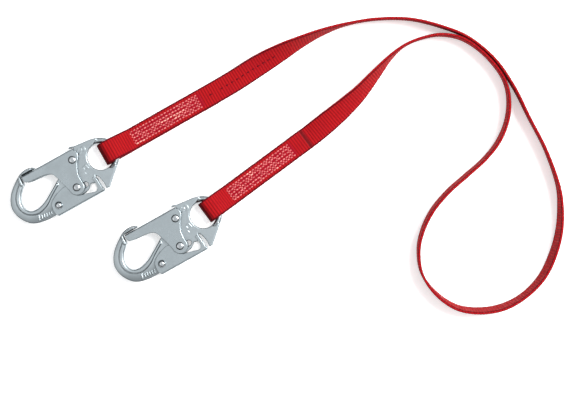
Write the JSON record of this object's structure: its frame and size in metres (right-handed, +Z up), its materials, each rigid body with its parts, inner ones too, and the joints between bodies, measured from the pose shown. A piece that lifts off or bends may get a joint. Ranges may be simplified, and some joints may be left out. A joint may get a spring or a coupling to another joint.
{
  "type": "safety lanyard",
  "caption": "Flat web lanyard with a self-locking snap hook sewn on at each end, lying in one open loop with the free web standing on its edge.",
  "frame": {"origin": "bottom centre of the box round the hooks and the sewn ends, on the surface that the lanyard lies on", "axes": "+X along the hooks from nose to eye, towards the loop of web; +Y across the hooks towards their gates; +Z up"},
  "size_m": [0.5688, 0.4061, 0.0255],
  "materials": {
    "forging": "zinc plated forging, satin",
    "sheet": "zinc plated pressed sheet, satin",
    "rivet": "zinc plated, domed and polished by setting",
    "spring": "drawn spring wire",
    "web": "woven polyester web with cross ribs",
    "thread": "bonded sewing thread"
  },
  "bodies": {
    "web": {"web_run": "web", "web_end_a": "web", "web_end_b": "web", "stitching_a": "thread", "stitching_b": "thread"},
    "hook_a": {"hook_body_a": "forging", "gate_pivot_rivet_a": "rivet", "lever_pivot_rivet_a": "rivet", "gate_spring_a": "spring", "lever_spring_a": "spring"},
    "gate_a": {"gate_a": "sheet", "lock_pin_a": "rivet"},
    "lever_a": {"lock_lever_a": "sheet"},
    "hook_b": {"hook_body_b": "forging", "gate_pivot_rivet_b": "rivet", "lever_pivot_rivet_b": "rivet", "gate_spring_b": "spring", "lever_spring_b": "spring"},
    "gate_b": {"gate_b": "sheet", "lock_pin_b": "rivet"},
    "lever_b": {"lock_lever_b": "sheet"}
  },
  "joints": [
    {"name": "hook_a_swing", "type": "hinge", "parent": "web", "child": "hook_a", "pos_m": [-0.0374, 0.06168, 0.01], "axis": [-0.0052, 1, 0], "range_deg": [-100, 100]},
    {"name": "gate_a_open", "type": "hinge", "parent": "hook_a", "child": "gate_a", "pos_m": [-0.0817, 0.0732, 0.01], "axis": [0, 0, 1], "range_deg": [0, 19], "stiffness_Nm_per_rad": 0.08, "springref_deg": -20.05, "deforming": ["gate_spring_a"]},
    {"name": "lever_a_squeeze", "type": "hinge", "parent": "hook_a", "child": "lever_a", "pos_m": [-0.1203, 0.0357, 0.01], "axis": [0, 0, 1], "range_deg": [0, 9], "stiffness_Nm_per_rad": 0.08, "springref_deg": -17.19, "deforming": ["lever_spring_a"]},
    {"name": "hook_b_swing", "type": "hinge", "parent": "web", "child": "hook_b", "pos_m": [0.03227, -0.05152, 0.01], "axis": [-0.1271, 0.9919, 0], "range_deg": [-100, 100]},
    {"name": "gate_b_open", "type": "hinge", "parent": "hook_b", "child": "gate_b", "pos_m": [-0.0119, -0.0419, 0.01], "axis": [0, 0, 1], "range_deg": [0, 19], "stiffness_Nm_per_rad": 0.08, "springref_deg": -20.05, "deforming": ["gate_spring_b"]},
    {"name": "lever_b_squeeze", "type": "hinge", "parent": "hook_b", "child": "lever_b", "pos_m": [-0.0505, -0.0794, 0.01], "axis": [0, 0, 1], "range_deg": [0, 9], "stiffness_Nm_per_rad": 0.08, "springref_deg": -17.19, "deforming": ["lever_spring_b"]}
  ]
}
